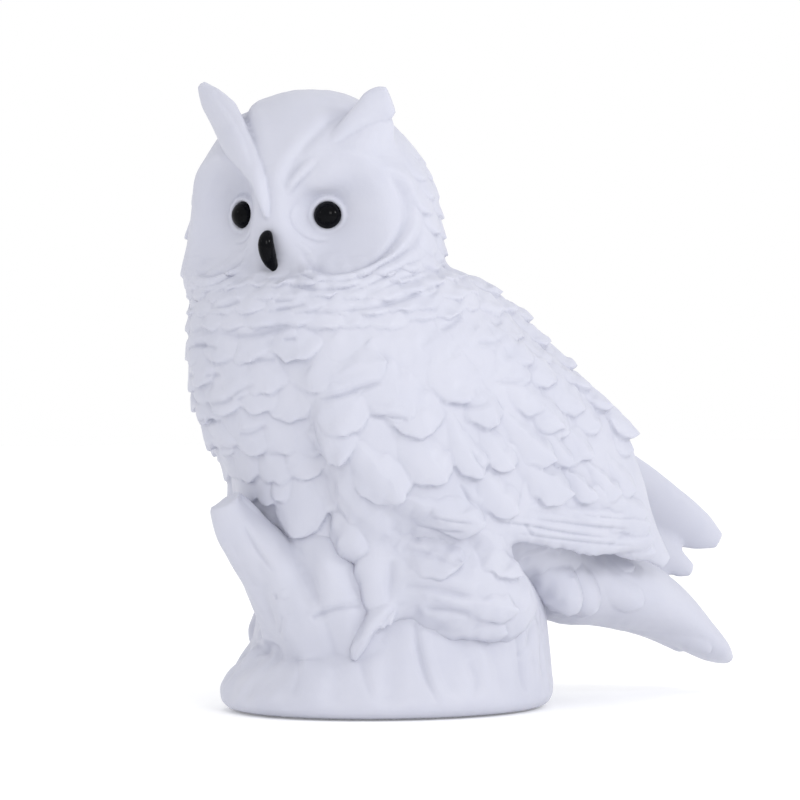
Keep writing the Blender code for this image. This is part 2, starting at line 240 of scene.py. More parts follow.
# The face, in the head's own frame
LEFT_BROW = (
    (4.5, -28, 173, 0.8, 0.8),
    (6.3, -29.3, 178, 1.8, 1.8),
    (9.2, -28, 182.4, 2.2, 2.4),
    (15.2, -24.6, 188.4, 2.8, 3),
    (21.4, -20.4, 195.2, 3.6, 3.4),
    (27, -17, 201, 5, 3.6),
    (31.2, -15.4, 204.8, 6, 3.2),
    (34.6, -14, 206.8, 5.8, 2.8),
    (36.6, -13.4, 207.6, 4.6, 2),
)
RIGHT_BROW = (
    (0.2, -33.5, 168, 0.8, 1.2),
    (-0.6, -33.5, 173, 1.8, 2.6),
    (-2.8, -33, 180, 2.9, 3.4),
    (-6.1, -31.5, 185, 4.2, 3.8),
    (-10.3, -29.5, 190, 5.4, 4.2),
    (-15, -26.5, 195, 6.2, 4.6),
    (-19.3, -23, 200, 6.2, 4.6),
    (-23.8, -20, 205, 5.8, 4.6),
    (-29.5, -17, 210, 4.4, 4),
    (-34.3, -15, 215, 1.8, 1.8),
)
# Directions along the brows' half widths
LEFT_BROW_ACROSS = (1, 0.6, -0.75)
RIGHT_BROW_ACROSS = (1, -0.35, 0.75)
# A swelling under the left brow, which runs it into the head
BROW_SWELLING = (
    (6, -25.5, 177, 2, 2),
    (11.5, -23.6, 180.5, 5, 4.5),
    (18, -20, 184.5, 8, 6.5),
    (24.5, -15.6, 190, 9.5, 7.5),
    (29, -13, 197, 8.5, 6),
    (32, -12.5, 202.6, 6.5, 4),
    (34, -12.5, 205, 3.5, 2.5),
)
BEAK_STATIONS = (
    (0.6, -32.2, 162.9, 0.8, 0.8),
    (0.6, -34, 161.9, 2, 2),
    (0.7, -35.2, 159.6, 2.55, 2.9),
    (0.8, -34.6, 156.8, 2.65, 3.2),
    (1.1, -33.1, 154, 2.3, 2.9),
    (1.6, -31.5, 151.8, 1.5, 2.1),
    (1.9, -30.4, 149.9, 0.7, 0.9),
)
# Folds beside the beak
CHEEK_FOLDS = (
    (
        (7, -28.5, 156.5, 0.8, 0.8),
        (9.5, -27.8, 153.5, 1.3, 1.3),
        (13.5, -28, 150.8, 1.4, 1.4),
        (18, -29, 149.2, 0.8, 0.8),
    ),
    ((8.5, -28.3, 160, 0.6, 0.6), (11, -26.6, 157.5, 0.9, 0.9), (14, -25.8, 155, 0.5, 0.5)),
)
# How far forward the middle of the face comes, and how far to each side that reaches, by height
BRIDGE_HEIGHTS = (143, 148, 152, 158, 164, 170, 178, 188)
BRIDGE_REACH = (38, 31.8, 29.3, 31, 33.5, 34.2, 34.5, 37)
BRIDGE_SPREAD_HEIGHTS = (152, 163, 174)
BRIDGE_SPREAD = (11.5, 10.3, 8.3)
LEFT_EYE = np.array((16.0, -19.6, 169.0))
RIGHT_EYE = np.array((-15.2, -19.6, 169.8))
EYE_SPLAY = math.radians(22)
EYE_RADIUS = 4.75
LID_THICKNESS = 1.1
# Centre and half size of a facial disc, seen from the head's front
DISC_CENTRE = (23.5, 169.5)
DISC_REACH = (18.0, 20.0)
# How far forward a disc lies, and the eye sockets sunk into it
DISC_FORWARD = 22.6
SOCKET_DEPTH = 5.0
SOCKET_RADIUS = 8.5

# The front quarter view: its angle off the owl's facing, and a distance that is well clear of the owl
QUARTER = math.radians(60)
CLEAR_DISTANCE = 300

# Single feathers on a flank: place of the tip to the rear and up, downward slope in degrees, length,
# width and lift. Places are seen level from the front quarter.
WING_FEATHERS = (
    (-1, 120, -17, 32, 15, 1.1),
    (25, 105.5, 75, 26, 20, 1),
    (7, 101, 62, 28, 24, 1.7),
    (47, 113, 40, 22, 13, 1),
    (37, 142, 35, 22, 15, 2.3),
    (48, 133.5, 38, 22, 15, 2.3),
    (54, 125, 40, 20, 14, 2.3),
    (63.5, 117, 38, 20, 14, 2.3),
    (68.5, 110, 38, 20, 14, 2.1),
    (75, 103, 33, 22, 14, 2.8),
    (83, 93, 26, 30, 15, 4.2),
    (-15, 95.3, 85, 24, 22, 1.7),
    (12, 95, 72, 24, 22, 2.8),
    (35, 98, 62, 22, 16, 2.4),
    (54, 101.5, 25, 22, 11, 1.6),
    (58, 96.8, 38, 26, 15, 2.6),
    (-15, 86, 75, 24, 22, 2.0),
    (5, 75.3, 50, 30, 21, 3.2),
    (18, 80, 55, 28, 20, 3.2),
    (30, 81.5, 60, 24, 13, 2.5),
    (41, 83.5, 50, 24, 12, 2.0),
    (54, 86.5, 33, 28, 15, 3.6),
    (61.5, 85, 35, 24, 11, 2.3),
    (69, 87, 35, 20, 10, 1.7),
    (31, 66, 20, 34, 19, 2.6),
    (42, 69.5, 42, 26, 15, 2.6),
    (60, 74.5, 28, 34, 17, 3.8),
    (69.5, 73.2, 30, 24, 10, 2.6),
    (79, 74, 22, 24, 9.5, 2.1),
    (85, 75, 22, 20, 12, 1.4),
)
HANGING_FEATHERS = (
    (-29, 62.5, 98, 30, 20, 3.8),
    (-12.5, 45.5, 92, 20, 13, 2.4),
    (-22, 55, 95, 20, 12, 2.0),
    (-36, 74, 110, 16, 12, 2.4),
)
THIGH_FEATHERS = (
    (24, 51, 30, 30, 17, 2.6),
    (43, 47, 42, 30, 17, 2.2),
    (42.5, 36.5, 14, 34, 12, 1.6),
    (39.5, 29.5, 8, 30, 9, 1.2),
)
# A factor on the lift of all the feathers above
COVERT_LIFT = 1.3
# Long flight feathers along each wing's lower edge
FLIGHT_FEATHERS = 4
# Lines drawn into the surface, seen in the same way: width, depth, then points to the rear and up
FEATHER_LINES = (
    (0.9, 1.3, (-23, 107.3), (-16, 108.8), (-9, 111), (-2, 113.2)),
    (0.8, 1.2, (-6, 102), (0, 101.4), (7, 101)),
    (0.9, 0.7, (17, 107.5), (22, 105.5), (30, 105.3), (34, 107)),
    (1.0, 0.6, (36, 114), (41, 113), (47, 113.8)),
    (1.0, 0.6, (30, 127), (34, 126.6), (39, 128)),
    (0.7, 0.8, (28, 91), (31, 86), (34, 83.5)),
    (0.7, 0.8, (24, 79.5), (27, 74.5), (30, 71)),
    (0.6, 0.7, (46.5, 65.5), (48, 62.5), (49.5, 61)),
    (0.5, 0.7, (36, 66.3), (48, 64.5), (62, 61.6), (76, 59.6)),
    (0.5, 0.6, (44, 62), (58, 59.6), (74, 57.4), (86, 56)),
    (0.5, 0.6, (50, 67), (60, 65.4), (72, 63.4), (84, 62)),
    (0.5, 0.6, (66, 68), (76, 66.6), (86, 65.6)),
    (0.5, 0.7, (9, 65.5), (18, 63.4), (26, 63)),
    (0.5, 0.6, (14, 68), (22, 66.5), (29, 66)),
    (1.7, 1.6, (4, 58), (12, 57.5), (20, 54), (25, 51)),
    (1.4, 1.2, (5, 45.5), (13, 45), (21, 43.5), (29, 41)),
    (1.2, 1.2, (12, 37.5), (20, 37), (28, 35.6)),
    (1.3, 0.8, (1.6, 54), (1.2, 46), (1.2, 39)),
    (1.0, 1.2, (-62, 106), (-57, 106.2), (-54, 107), (-50, 110), (-44, 112.6)),
    (0.9, 1.0, (-61, 100.3), (-56, 100)),
    (0.9, 0.9, (-50, 96), (-46, 96), (-40, 99)),
    (0.9, 0.9, (-57, 91.5), (-53, 90.5), (-50, 92)),
    (0.9, 1.0, (-46, 120), (-42, 120.5), (-37, 120.7)),
    (0.9, 0.9, (-62, 115.4), (-56, 115.7)),
    (0.9, 0.9, (-66, 126), (-61, 125.5), (-57, 124.3)),
    (1.1, 1.2, (-58, 130.3), (-50, 128.8), (-43, 129.3), (-36, 131), (-30, 132.6)),
    (0.8, 1.1, (-60, 138), (-54, 139), (-49, 140.3)),
    (0.7, 1.0, (-38, 140), (-31, 140)),
    (0.8, 1.1, (-40, 136.8), (-34, 137.6), (-27, 139)),
    (0.8, 0.8, (-35, 127.2), (-30, 127.6)),
    (0.8, 1.0, (-34, 145.8), (-25, 144.2), (-15, 144.4), (-9, 146.2)),
    (0.8, 0.9, (-28, 136), (-18, 136.3), (-8, 137.4), (2, 139.6), (11, 143.2), (19, 147)),
    (0.9, 1.0, (17, 130.3), (21, 132.3), (25, 135.5)),
)
# The same on the head, seen from its front: places to its left and up, in its own frame
FOREHEAD_LINES = (
    (1.6, 1.0, (5, 177), (8.3, 186), (15.5, 198), (21, 204), (28, 210)),
    (1.6, 1.2, (-27, 213), (-17, 205), (-8, 195), (-3, 184)),
)
# The same on the stump
BARK_LINES = (
    (1.1, 1.5, (-26, 34), (-22, 36), (-17, 37.6), (-8, 38.6)),
    (1.2, 1.6, (10, 34), (10.3, 26), (12, 18), (14, 12), (17.5, 5)),
    (1.5, 0.8, (-9, 21), (-7, 14), (-4.5, 7)),
    (1.0, 1.6, (43.2, 31), (44, 25), (45, 19), (46, 12), (47.5, 7)),
    (1.2, 1.5, (49.5, 31), (47.5, 25), (45, 19)),
    (0.9, 1.2, (51.5, 27), (52, 20), (53, 11)),
    (1.2, 1.4, (-48, 24), (-44, 23.2), (-40, 20.5)),
    (1.0, 0.9, (-36, 35), (-36.3, 31), (-37.5, 27)),
    (1.0, 1.0, (-38.5, 42), (-37.5, 39.5)),
    (1.2, 1.0, (-54, 62), (-49, 52), (-45, 43)),
    (1.0, 0.9, (-48, 66), (-44, 57), (-38, 49)),
    (1.4, 0.8, (-30, 22), (-29, 15), (-31, 7)),
    (1.4, 0.7, (28, 20), (30, 13), (29, 6)),
)
# Tail feathers and under-tail lobes, given as the feathers of a flank are
TAIL_FEATHERS = (
    (70, 32, 55, 32, 12, 2.2),
    (62.5, 33, 60, 28, 12, 2.0),
    (87, 47, 12, 20, 8, 1.4),
    (90, 34, 38, 34, 13, 1.4),
    (117, 16, 38, 46, 13, 1.0),
)


# ---------------------------------------------------------------- forms


def unit(v):
    return v / np.linalg.norm(v)


def turn_about_up(angle):
    """The matrix that turns points anticlockwise, seen from above."""
    c = math.cos(angle)
    s = math.sin(angle)
    return np.array(((c, -s, 0), (s, c, 0), (0, 0, 1)))


def mirrored(stations, side):
    """Stations of the left side, or their mirror image where side is -1."""
    return [(side * x, *rest) for x, *rest in stations]


def quarter_axes(side):
    """Directions to the rear and toward the viewer, in the front quarter view of a flank."""
    rearward = np.array((side * math.cos(QUARTER), math.sin(QUARTER), 0))
    toward = np.array((side * math.sin(QUARTER), -math.cos(QUARTER), 0))
    return rearward, toward


def curve_point(a, b, c, d, t):
    """A point between b and c on the Catmull-Rom curve through four rows."""
    return 0.5 * (2 * b + (c - a) * t + (2 * a - 5 * b + 4 * c - d) * t**2 + (3 * b - a - 3 * c + d) * t**3)


def smooth_rows(keys, per_span):
    """Rows on a smooth curve through the key rows."""
    keys = np.array(keys, dtype=float)
    last = len(keys) - 1
    rows = []
    for k in range(last):
        around = [keys[min(max(i, 0), last)] for i in range(k - 1, k + 3)]
        rows += [curve_point(*around, step / per_span) for step in range(per_span)]
    rows.append(keys[last])
    return np.array(rows)


def level_rings(sections, per_span=8, segments=160):
    """Level ovals, as an array of rings of points."""
    turns = np.linspace(0, 2 * math.pi, segments, endpoint=False)
    rings = []
    for height, front, back, half in smooth_rows(sections, per_span):
        x = half * np.cos(turns)
        y = (front + back) / 2 + (back - front) / 2 * np.sin(turns)
        rings.append(np.stack((x, y, np.full(segments, height)), axis=1))
    return np.array(rings)


def limb_rings(stations, across, per_span=6, segments=48):
    """Ovals set square to a curved path. across points along each oval's half width."""
    rows = smooth_rows(stations, per_span)
    across = np.array(across, dtype=float)
    turns = np.linspace(0, 2 * math.pi, segments, endpoint=False)
    rings = []
    for i, row in enumerate(rows):
        along = unit(rows[min(i + 1, len(rows) - 1)][:3] - rows[max(i - 1, 0)][:3])
        wide = unit(across - along * across.dot(along))
        thick = np.cross(along, wide)
        oval = np.outer(np.cos(turns), wide * row[3]) + np.outer(np.sin(turns), thick * row[4])
        rings.append(row[:3] + oval)
    return np.array(rings)


def skin(rings):
    """Points and faces of a closed skin over rings, capped at both ends."""
    rows, count = rings.shape[:2]
    faces = []
    for r in range(rows - 1):
        for i in range(count):
            j = (i + 1) % count
            faces.append((r * count + i, r * count + j, (r + 1) * count + j, (r + 1) * count + i))
    faces.append(tuple(reversed(range(count))))
    faces.append(tuple(range((rows - 1) * count, rows * count)))
    return rings.reshape(-1, 3), faces


def wobble(points, size, seed):
    """Smooth lumps, between about -1 and 1, that are size across."""
    draw = np.random.default_rng(seed)
    total = np.zeros(len(points))
    for _ in range(9):
        wave = unit(draw.normal(size=3)) * 2 * math.pi / (size * draw.uniform(1.4, 3.0))
        total += np.sin(points @ wave + draw.uniform(0, 2 * math.pi))
    return total / 3


def smoothstep(low, high, value):
    """Rises smoothly from 0 at low to 1 at high."""
    t = np.clip((value - low) / (high - low), 0, 1)
    return t * t * (3 - 2 * t)


class Surface:
    """A form that feathers are laid on."""

    def __init__(self, points, faces):
        self.tree = BVHTree.FromPolygons([Vector(p) for p in points], faces)

    def nearest(self, point):
        found, normal, _, _ = self.tree.find_nearest(Vector(point))
        return np.array(found), np.array(normal)

    def hit(self, start, direction):
        """The first point of the surface along a ray."""
        found, _, _, _ = self.tree.ray_cast(Vector(start), Vector(direction))
        return None if found is None else np.array(found)


class Clay:
    """Overlapping closed forms, which are fused into one sculpted piece."""

    def __init__(self):
        self.points = []
        self.faces = []
        self.count = 0

    def add(self, points, faces):
        self.points.append(np.asarray(points))
        self.faces += [tuple(i + self.count for i in face) for face in faces]
        self.count += len(points)

    def fuse(self, name, voxel, soften):
        """Fuses the forms, and softens their edges as a mould does."""
        mesh = bpy.data.meshes.new(name)
        mesh.from_pydata(np.concatenate(self.points) * MM, [], self.faces)
        obj = bpy.data.objects.new(name, mesh)
        bpy.context.scene.collection.objects.link(obj)
        remesh = obj.modifiers.new("fuse", "REMESH")
        remesh.mode = "VOXEL"
        remesh.voxel_size = voxel * MM
        smooth = obj.modifiers.new("soften", "SMOOTH")
        smooth.factor = 0.5
        smooth.iterations = soften
        graph = bpy.context.evaluated_depsgraph_get()
        fused = bpy.data.meshes.new_from_object(obj.evaluated_get(graph), depsgraph=graph)
        obj.modifiers.clear()
        obj.data = fused
        fused.shade_smooth()
        return obj


def read_points(obj):
    points = np.empty(len(obj.data.vertices) * 3, dtype=np.float32)
    obj.data.vertices.foreach_get("co", points)
    return points.reshape(-1, 3).astype(float) / MM


def read_normals(obj):
    normals = np.empty(len(obj.data.vertices) * 3, dtype=np.float32)
    obj.data.vertex_normals.foreach_get("vector", normals)
    return normals.reshape(-1, 3).astype(float)


def write_points(obj, points):
    obj.data.vertices.foreach_set("co", (points * MM).astype(np.float32).ravel())
    obj.data.update()


# Rows of points are closer together towards a feather's tip, by this power
TIP_CROWDING = 1.6
# How far a feather reaches down into the body
ROOT_DEPTH = 1.5


def feather(surface, tip, heading, length, width, lift, dome=0.7, blunt=0.55, rows=14, columns=13):
    """A domed scale that lies along a surface: its root is buried, its upper side is tucked in, and its tip
    and lower side stand proud. blunt is the length of its round end, in widths."""
    point, normal = surface.nearest(tip)
    heading = np.array(heading, dtype=float)
    places = 1 - np.linspace(0, 1, rows) ** TIP_CROWDING
    path = []
    for step in -np.diff(places, append=0):
        along = unit(heading - normal * heading.dot(normal))
        path.append((point, normal, along))
        point, normal = surface.nearest(point - along * length * step)
    straight = 1 - blunt * width / length
    top = []
    bottom = []
    for s, (point, normal, along) in zip(places[::-1], path[::-1]):
        bend = max(0.0, (s - straight) / (1 - straight))
        half = width / 2 * (0.8 + 0.2 * min(1, s * 2)) * max(1 - bend**2, 0.02) ** 0.5
        across = np.cross(along, normal)
        for j in range(columns):
            t = 2 * j / (columns - 1) - 1
            base, up = surface.nearest(point + across * half * t)
            crown = (1 - t * t) * dome * (0.35 + 0.65 * s)
            sunk = (0.15 + 0.45 * (1 - s)) * t * t + max(0, t * across[2])
            top.append(base + up * (crown + lift * (s**1.7 - sunk)))
            bottom.append(base - up * ROOT_DEPTH)
    points = np.array(top + bottom)
    size = rows * columns
    faces = []
    for i in range(rows - 1):
        for j in range(columns - 1):
            a = i * columns + j
            b = a + 1
            c = b + columns
            d = a + columns
            faces.append((a, b, c, d))
            faces.append((d + size, c + size, b + size, a + size))
    rim = list(range(columns))
    rim += [i * columns + columns - 1 for i in range(1, rows)]
    rim += [(rows - 1) * columns + j for j in range(columns - 2, -1, -1)]
    rim += [i * columns for i in range(rows - 2, 0, -1)]
    for a, b in zip(rim, rim[1:] + rim[:1]):
        faces.append((b, a, a + size, b + size))
    return points, faces


def to_world(points):
    """Moves points from the head's own frame to their place on the owl."""
    return points @ turn_about_up(HEAD_TURN).T + HEAD_CENTRE


def from_world(points):
    return (points - HEAD_CENTRE) @ turn_about_up(HEAD_TURN)


# ---------------------------------------------------------------- plain forms under the feathers


def disc_place(points):
    """How far each point lies from the centre of its facial disc, 1 at the rim, and its angle there."""
    across = (np.abs(points[:, 0]) - DISC_CENTRE[0]) / DISC_REACH[0]
    above = (points[:, 2] - DISC_CENTRE[1]) / DISC_REACH[1]
    return np.hypot(across, above), np.arctan2(above, across)


def carve_discs(points):
    """Cuts the two flat facial discs and the eye sockets into the front of the head."""
    points = points.copy()
    across = np.abs(points[:, 0])
    above = points[:, 2] - DISC_CENTRE[1]
    bridge = np.interp(points[:, 2], BRIDGE_HEIGHTS, BRIDGE_REACH)
    spread = np.interp(points[:, 2], BRIDGE_SPREAD_HEIGHTS, BRIDGE_SPREAD)
    middle = np.exp(-((across / spread) ** 3))
    from_eye = np.hypot(across - LEFT_EYE[0] + 0.5, points[:, 2] - LEFT_EYE[2] - 3)
    socket = SOCKET_DEPTH * np.exp(-((from_eye / SOCKET_RADIUS) ** 2))
    slope = 0.27 * (across - LEFT_EYE[0])
    edge = 7 * np.abs(above / DISC_REACH[1]) ** 3
    disc = DISC_FORWARD - slope + edge - socket
    depth = disc * (1 - middle) + bridge * middle
    forward = -points[:, 1]
    cut = -np.logaddexp(-forward, -depth)
    points[:, 1] = np.where(forward > 0, -cut, points[:, 1])
    return points


def wing_form(side, first=0):
    """A folded wing, from one of its stations to its tip."""
    stations = (WING_STATIONS if side > 0 else RIGHT_WING_STATIONS)[first:]
    return skin(limb_rings(stations, (-side * WING_LEAN, 0, 1), segments=96))


def side_form(stations, side):
    """A limb or swelling of one side of the body."""
    return skin(limb_rings(mirrored(stations, side), SIDEWAYS, segments=72))


def toe_forms(side):
    """The toes of a foot."""
    toes = []
    for degrees, size in TOES:
        points, faces = skin(limb_rings(TOE_STATIONS, SIDEWAYS, segments=24))
        turn = turn_about_up(side * math.radians(degrees))
        toes.append((points @ turn.T * size + FOOT_PLACE * np.array((side, 1, 1)), faces))
    return toes


def plain_forms():
    """The closed forms that make up the bird, under the name of the CAD node that each belongs to."""
    head, head_faces = skin(level_rings(HEAD_SECTIONS, segments=220))
    return {
        "body_shell": [skin(level_rings(TORSO_SECTIONS))]
        + [side_form(stations, side) for side in (1, -1) for stations in BODY_SWELLINGS],
        "head_shell": [(to_world(carve_discs(head)), head_faces)],
        "left_wing": [wing_form(1)],
        "right_wing": [wing_form(-1), skin(limb_rings(FLIGHT_STATIONS, (0, 0.4, 1)))],
        "tail": [skin(limb_rings(TAIL_STATIONS, SIDEWAYS, segments=72))],
        "left_leg": [side_form(LEG_STATIONS, 1), side_form(SHIN_STATIONS, 1)],
        "right_leg": [side_form(LEG_STATIONS, -1), side_form(SHIN_STATIONS, -1)],
        "left_foot": toe_forms(1),
        "right_foot": toe_forms(-1),
    }


# ---------------------------------------------------------------- feathers


def quarter_view(surface, side, u, z):
    """The point of a flank that is u to the rear and z high, seen level from the front quarter."""
    rearward, toward = quarter_axes(side)
    return surface.hit(rearward * u + toward * CLEAR_DISTANCE + UP * z, -toward)


def lay(clay, surface, side, u, z, slope, length, width, lift, **shape):
    """One feather on a flank, by the place of its tip and its downward slope in degrees."""
    tip = quarter_view(surface, side, u, z)
    if tip is not None:
        rearward, _ = quarter_axes(side)
        heading = rearward * math.cos(math.radians(slope)) - UP * math.sin(math.radians(slope))
        clay.add(*feather(surface, tip, heading, length, width, lift, **shape))


def flank_feathers(clay, surface, side):
    """The wing's coverts, its long flight feathers, and the loose feathers of the belly and thigh."""
    for *place_and_size, lift in WING_FEATHERS + HANGING_FEATHERS + THIGH_FEATHERS:
        lay(clay, surface, side, *place_and_size, COVERT_LIFT * lift)
    for k in range(FLIGHT_FEATHERS):
        lay(clay, surface, side, 93 - 1.3 * k, 54 + 4.4 * k, 6 + k, 64, 9, 1.9, blunt=0.25, rows=18)


def rounds(clay, surface, centre, level, degrees, heading, length, width, lift, draw, blunt=0.5):
    """A round of feathers about a vertical axis. level and heading are given for each bearing."""
    for angle in degrees:
        bearing = math.radians(angle + draw.uniform(-2, 2))
        outward = np.array((math.sin(bearing), -math.cos(bearing), 0))
        tip = surface.hit(np.array(centre) + UP * (level(bearing) + draw.uniform(-0.9, 0.9)), outward)
        if tip is None:
            continue
        size = draw.uniform(0.88, 1.12)
        height = lift * draw.uniform(0.4, 1.3)
        way = heading(bearing)
        clay.add(*feather(surface, tip, way, length * size, width * size, height, dome=0.5, blunt=blunt))


def chest_feathers(clay, surface):
    """Rows down the breast and belly."""
    draw = np.random.default_rng(11)

    def downward(bearing):
        return np.array((-0.1 * math.sin(bearing), 0.35, -1))

    for row, height in enumerate(np.arange(60, 128, 10.2)):
        degrees = np.arange(-96, 44, 13) + 6 * (row % 2)

        def level(bearing):
            return height + draw.uniform(-2, 2)

        rounds(clay, surface, (0, -5, 0), level, degrees, downward, 17, 17, 2.3, draw, 0.35)


def ruff_feathers(clay, surface):
    """Short, broad feathers in close rows under the face, which climb towards the back of the neck."""
    draw = np.random.default_rng(13)

    def downward(bearing):
        return np.array((0, 0.1, -1))

    for row, height in enumerate((131, 136, 140.5, 144.5, 148)):
        degrees = np.arange(-110, 171, 13) + 6 * (row % 2)

        def climb(bearing):
            return height + 9 * smoothstep(45, 110, abs(math.degrees(bearing - HEAD_TURN)))

        rounds(clay, surface, (0, -22, 0), climb, degrees, downward, 9, 18, 1.2, draw, 0.3)


def back_feathers(clay, surface):
    """Rows of long feathers down the back, each overlapping the next."""
    draw = np.random.default_rng(12)

    def rearward(bearing):
        return np.array((0.2 * math.sin(bearing), 0.8, -0.75))

    for row, height in enumerate(np.arange(88, 145, 8.0)):
        degrees = 180 + np.arange(-56, 57, 16) + 8 * (row % 2)
        rounds(clay, surface, (0, -5, 0), lambda b: height, degrees, rearward, 24, 16, 2.0, draw)


def nape_feathers(clay, surface):
    """Soft feathers over the sides and back of the head."""
    draw = np.random.default_rng(21)
    turned = math.degrees(HEAD_TURN)

    def downward(bearing):
        return -UP

    for row, height in enumerate(np.arange(156, 192, 6.4)):
        degrees = turned + np.arange(88, 274, 13) + 7 * (row % 2)
        lift = 1.8 - 1.0 * smoothstep(172, 192, height)
        rounds(clay, surface, tuple(HEAD_CENTRE), lambda b: height, degrees, downward, 13, 13, lift, draw)


def tail_feathers(clay, surface):
    """The long feathers of the tail, and those under its root."""
    for side in (1, -1):
        for shape in TAIL_FEATHERS:
            lay(clay, surface, side, *shape)


# ---------------------------------------------------------------- the bird


def face_relief(points):
    """Relief of the face, for points in the head's own frame: a crease and a rolled rim around each disc,
    wrinkles below it, a ridge above it, a fold beside each eye, and the lines of the forehead."""
    reach, angle = disc_place(points)
    degrees = np.degrees(angle)
    side = smoothstep(-175, -150, degrees) * (1 - smoothstep(28, 50, degrees))
    side *= np.where(points[:, 0] < 0, 1 - smoothstep(-95, -55, degrees), 1)
    side *= smoothstep(9, 16, np.abs(points[:, 0]))
    front = smoothstep(2, 9, -points[:, 1])
    crease = 1.1 * np.exp(-(((reach - 1.0) / 0.06) ** 2))
    crease += 0.6 * np.exp(-(((reach - 1.22) / 0.045) ** 2)) * smoothstep(-60, -20, degrees)
    rim = 1.1 * np.exp(-(((reach - 1.1) / 0.07) ** 2))
    waver = wobble(points, 14, 3)
    folds = np.abs(np.sin((reach + 0.03 * waver) * math.pi / 0.17)) ** 0.7
    folds *= smoothstep(1.06, 1.16, reach) * (1 - smoothstep(1.5, 1.7, reach))
    folds *= 1 - smoothstep(-50, -20, degrees)
    folds *= smoothstep(8, 14, np.abs(points[:, 0]))
    brow = 0.7 * np.exp(-(((reach - 1.0) / 0.12) ** 2))
    brow *= smoothstep(20, 50, degrees) * (1 - smoothstep(80, 110, degrees))
    across = np.abs(points[:, 0]) - LEFT_EYE[0]
    above = points[:, 2] - LEFT_EYE[2]
    away = np.hypot(across, above)
    inner = smoothstep(0.3, 0.8, (-0.8 * across - 0.6 * above) / np.maximum(away, 0.1))
    lid = 0.4 * np.exp(-(((away - 8.8) / 0.6) ** 2)) * inner
    lines = 0.8 * drawn(points[:, [0, 2]], FOREHEAD_LINES)
    return ((rim + folds - crease) * side + brow - lid - lines) * front


def drawn(place, strokes):
    """Depth of the strokes drawn on a view of points: each is a groove under the soft edge of a swelling."""
    total = np.zeros(len(place))
    for width, depth, *path in strokes:
        path = smooth_rows(path, 4)
        close = np.all((place > path.min(0) - 6 * width) & (place < path.max(0) + 6 * width), axis=1)
        close = np.flatnonzero(close)
        best = np.full(len(close), 1e9)
        above = np.zeros(len(close))
        taper = np.zeros(len(close))
        for k, (a, b) in enumerate(zip(path, path[1:])):
            reach = place[close] - a
            t = np.clip(reach @ (b - a) / (b - a).dot(b - a), 0, 1)
            gap = np.linalg.norm(reach - t[:, None] * (b - a), axis=1)
            turn = (b[0] - a[0]) * reach[:, 1] - (b[1] - a[1]) * reach[:, 0]
            nearer = gap < best
            best = np.where(nearer, gap, best)
            above = np.where(nearer, np.where(turn > 0, gap, -gap) / width, above)
            taper = np.where(nearer, 1 - abs(2 * (k + t) / (len(path) - 1) - 1) ** 3, taper)
        groove = np.exp(-(((above + 0.3) / 1.1) ** 2))
        swelling = 0.55 * np.exp(-(((above - 2.4) / 1.9) ** 2))
        total[close] += depth * taper * (groove - swelling)
    return total


def etched(points, normals, side, strokes):
    """Depth of the strokes drawn on a flank, as seen level from the front quarter."""
    rearward, toward = quarter_axes(side)
    place = np.stack((points @ rearward, points[:, 2]), axis=1)
    facing = smoothstep(0.05, 0.3, normals @ toward)
    return drawn(place, strokes) * facing


def eye_axis(side):
    """The way an eye looks, in the head's own frame."""
    return np.array((side * math.sin(EYE_SPLAY), -math.cos(EYE_SPLAY), 0))


def turn_to(axis):
    """The matrix that turns +Z to an axis."""
    return np.array(Vector(axis).to_track_quat("Z", "Y").to_matrix())


def ring(centre, axis, radius, thick, around=48, section=14):
    """A closed ring, for an eyelid."""
    turn = turn_to(axis)
    points = []
    faces = []
    for i in range(around):
        a = 2 * math.pi * i / around
        for j in range(section):
            b = 2 * math.pi * j / section
            reach = radius + thick * math.cos(b)
            points.append((reach * math.cos(a), reach * math.sin(a), thick * math.sin(b)))
            k = (i + 1) % around
            m = (j + 1) % section
            faces.append((i * section + j, k * section + j, k * section + m, i * section + m))
    return np.array(points) @ turn.T + centre, faces


def face_details(clay):
    """The brows with their ear tufts, the folds of the cheeks, and the eyelids."""
    for stations, across in ((LEFT_BROW, LEFT_BROW_ACROSS), (RIGHT_BROW, RIGHT_BROW_ACROSS)):
        points, faces = skin(limb_rings(stations, across))
        clay.add(to_world(points), faces)
    for side in (1, -1):
        for fold in CHEEK_FOLDS:
            points, faces = skin(limb_rings(mirrored(fold, side), UP, segments=20))
            clay.add(to_world(points), faces)
        centre = (LEFT_EYE if side > 0 else RIGHT_EYE) + eye_axis(side)
        points, faces = ring(centre, eye_axis(side), EYE_RADIUS + 0.9, LID_THICKNESS)
        clay.add(to_world(points), faces)


def soft_hull(forms):
    """The plain forms run together, with the creases between them filled."""
    clay = Clay()
    for name, shapes in forms.items():
        if "foot" not in name:
            for shape in shapes:
                clay.add(*shape)
    swelling, swelling_faces = skin(limb_rings(BROW_SWELLING, LEFT_BROW_ACROSS))
    clay.add(to_world(swelling), swelling_faces)
    hull = clay.fuse("hull", HULL_VOXEL, 20)
    points = read_points(hull)
    faces = [tuple(face.vertices) for face in hull.data.polygons]
    bpy.data.objects.remove(hull)
    return points, faces


def ragged_shift(points):
    """A small shift along the surface that breaks up the feathers' edges, least on the face and tail."""
    outward = points * np.array((1 / 48**2, 1 / 75**2, 0))
    outward /= np.linalg.norm(outward, axis=1, keepdims=True) + 1e-6
    shift = np.stack([wobble(points, 3.2, seed) for seed in (41, 42, 43)], axis=1)
    shift -= outward * np.sum(shift * outward, axis=1, keepdims=True)
    size = 0.38 * (1 - 0.85 * smoothstep(146, 158, points[:, 2]))
    size *= 1 - 0.9 * smoothstep(60, 92, points[:, 1] + 0.5 * np.maximum(60 - points[:, 2], 0))
    return shift * size[:, None]


